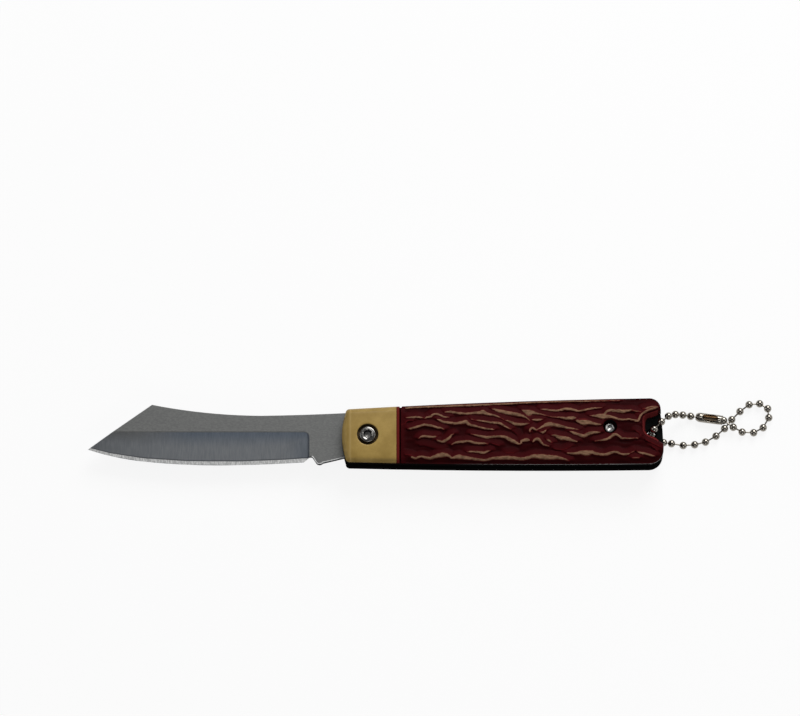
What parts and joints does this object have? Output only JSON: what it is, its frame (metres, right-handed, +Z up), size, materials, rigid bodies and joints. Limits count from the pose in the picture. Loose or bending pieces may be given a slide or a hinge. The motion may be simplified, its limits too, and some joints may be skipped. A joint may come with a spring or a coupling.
{
  "type": "folding pocket knife",
  "caption": "Slip-joint folding pocket knife with a reverse-tanto blade, bark-textured moulded scales with tan bolsters, and a ball chain through the tail.",
  "frame": {"origin": "under the middle of the handle's length, on the line of the pivot, on the rear scale's flat outer face", "axes": "+X along the knife from the blade's point to the tail, +Y towards the back, +Z up out of the front scale"},
  "size_m": [0.214, 0.0228, 0.0124],
  "materials": {
    "blade_steel": "ground satin",
    "scale_moulding": "wiped paint over tan moulding",
    "liner_black": "black satin",
    "spring_steel": "ground",
    "fastener_steel": "bright",
    "washer_brass": "rolled sheet",
    "chain_nickel": "nickel plate"
  },
  "bodies": {
    "handle": {"front_scale": "scale_moulding", "rear_scale": "scale_moulding", "front_liner": "liner_black", "rear_liner": "liner_black", "back_spring": "spring_steel", "pivot_barrel": "fastener_steel", "front_pivot_screw": "fastener_steel", "rear_pivot_screw": "fastener_steel", "front_pivot_washer": "washer_brass", "rear_pivot_washer": "washer_brass", "tail_barrel": "fastener_steel", "front_tail_screw": "fastener_steel", "rear_tail_screw": "fastener_steel", "mid_spring_pin": "fastener_steel", "tail_spring_pin": "fastener_steel"},
    "blade": {"blade": "blade_steel"},
    "chain": {"chain_ball_01": "chain_nickel", "chain_ball_02": "chain_nickel", "chain_ball_03": "chain_nickel", "chain_ball_04": "chain_nickel", "chain_ball_05": "chain_nickel", "chain_ball_06": "chain_nickel", "chain_ball_07": "chain_nickel", "chain_ball_08": "chain_nickel", "chain_ball_09": "chain_nickel", "chain_ball_10": "chain_nickel", "chain_ball_11": "chain_nickel", "chain_ball_12": "chain_nickel", "chain_ball_13": "chain_nickel", "chain_ball_14": "chain_nickel", "chain_ball_15": "chain_nickel", "chain_ball_16": "chain_nickel", "chain_ball_17": "chain_nickel", "chain_ball_18": "chain_nickel", "chain_ball_19": "chain_nickel", "chain_ball_20": "chain_nickel", "chain_ball_21": "chain_nickel", "chain_ball_22": "chain_nickel", "chain_ball_23": "chain_nickel", "chain_ball_24": "chain_nickel", "chain_ball_25": "chain_nickel", "chain_ball_26": "chain_nickel", "chain_ball_27": "chain_nickel", "chain_links": "chain_nickel", "chain_connector": "chain_nickel"}
  },
  "joints": [
    {"name": "blade_fold", "type": "hinge", "parent": "handle", "child": "blade", "pos_m": [-0.04225, 0, 0.0062], "axis": [0, 0, 1], "range_deg": [0, 175], "deforming": ["back_spring"]},
    {"name": "chain_swing", "type": "hinge", "parent": "handle", "child": "chain", "pos_m": [0.04615, 0.00077, 0.0062], "axis": [0, 0, 1], "range_deg": [-8, 8]}
  ]
}
